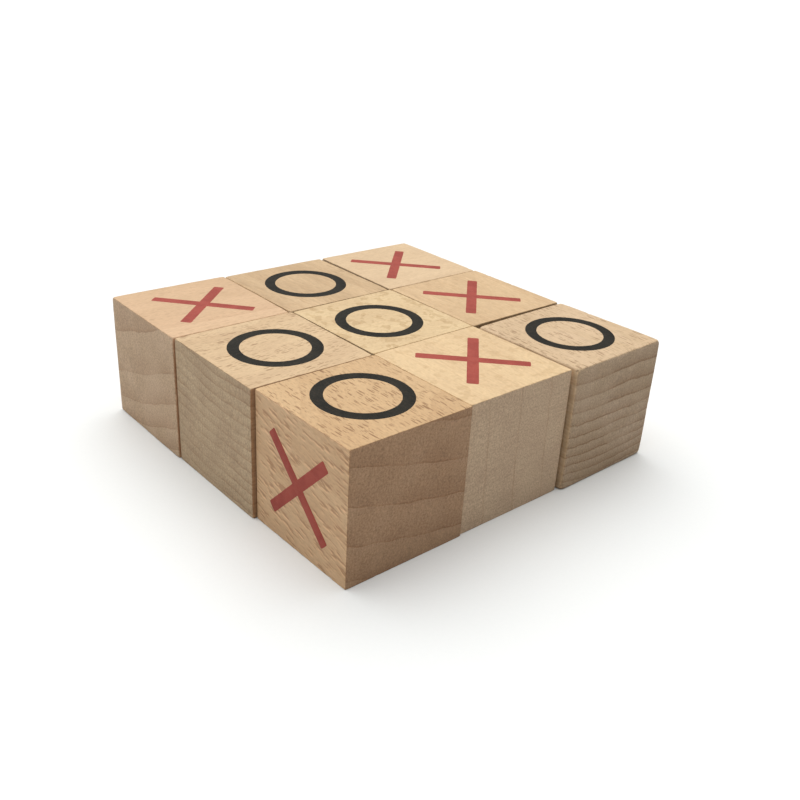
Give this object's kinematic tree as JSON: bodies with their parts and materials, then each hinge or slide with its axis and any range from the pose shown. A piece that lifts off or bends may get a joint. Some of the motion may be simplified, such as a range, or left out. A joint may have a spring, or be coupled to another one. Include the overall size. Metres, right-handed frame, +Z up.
{
  "type": "tic tac toe set",
  "caption": "Loose wooden cubes packed into a square block, each printed with a red cross and a black ring on neighbouring faces.",
  "frame": {"origin": "on the surface the cubes stand on, under the middle of the block's bounding box", "axes": "+Z up; -Y is the front, the side that shows a printed cross; +X is the block's right side"},
  "size_m": [0.1238, 0.1232, 0.0401],
  "materials": {
    "beech_pale": "bare fine-sanded beech, pale yellow, faint ray mottle",
    "beech_warm": "bare fine-sanded beech, warm, short dark ray flecks",
    "beech_tan": "bare fine-sanded beech, darker tan, soft streaks",
    "ink_red": "thin matt printed ink, slightly worn into the grain",
    "ink_black": "thin matt printed ink, slightly worn into the grain"
  },
  "bodies": {
    "front_left": {"front_left_cube": "beech_warm", "front_left_top_cross": "ink_red", "front_left_side_ring": "ink_black"},
    "front_middle": {"front_middle_cube": "beech_warm", "front_middle_top_ring": "ink_black", "front_middle_side_cross": "ink_red"},
    "front_right": {"front_right_cube": "beech_warm", "front_right_top_ring": "ink_black", "front_right_side_cross": "ink_red"},
    "middle_left": {"middle_left_cube": "beech_tan", "middle_left_top_ring": "ink_black", "middle_left_side_cross": "ink_red"},
    "centre": {"centre_cube": "beech_pale", "centre_top_ring": "ink_black", "centre_side_cross": "ink_red"},
    "middle_right": {"middle_right_cube": "beech_pale", "middle_right_top_cross": "ink_red", "middle_right_side_ring": "ink_black"},
    "back_left": {"back_left_cube": "beech_warm", "back_left_top_cross": "ink_red", "back_left_side_ring": "ink_black"},
    "back_middle": {"back_middle_cube": "beech_tan", "back_middle_top_cross": "ink_red", "back_middle_side_ring": "ink_black"},
    "back_right": {"back_right_cube": "beech_warm", "back_right_top_ring": "ink_black", "back_right_side_cross": "ink_red"}
  },
  "joints": [
    {"name": "front_left_lift", "type": "slide", "parent": "centre", "child": "front_left", "axis": [0, 0, 1], "range_m": [0, 0.05]},
    {"name": "front_middle_lift", "type": "slide", "parent": "centre", "child": "front_middle", "axis": [0, 0, 1], "range_m": [0, 0.05]},
    {"name": "front_right_lift", "type": "slide", "parent": "centre", "child": "front_right", "axis": [0, 0, 1], "range_m": [0, 0.05]},
    {"name": "middle_left_lift", "type": "slide", "parent": "centre", "child": "middle_left", "axis": [0, 0, 1], "range_m": [0, 0.05]},
    {"name": "middle_right_lift", "type": "slide", "parent": "centre", "child": "middle_right", "axis": [0, 0, 1], "range_m": [0, 0.05]},
    {"name": "back_left_lift", "type": "slide", "parent": "centre", "child": "back_left", "axis": [0, 0, 1], "range_m": [0, 0.05]},
    {"name": "back_middle_lift", "type": "slide", "parent": "centre", "child": "back_middle", "axis": [0, 0, 1], "range_m": [0, 0.05]},
    {"name": "back_right_lift", "type": "slide", "parent": "centre", "child": "back_right", "axis": [0, 0, 1], "range_m": [0, 0.05]}
  ]
}
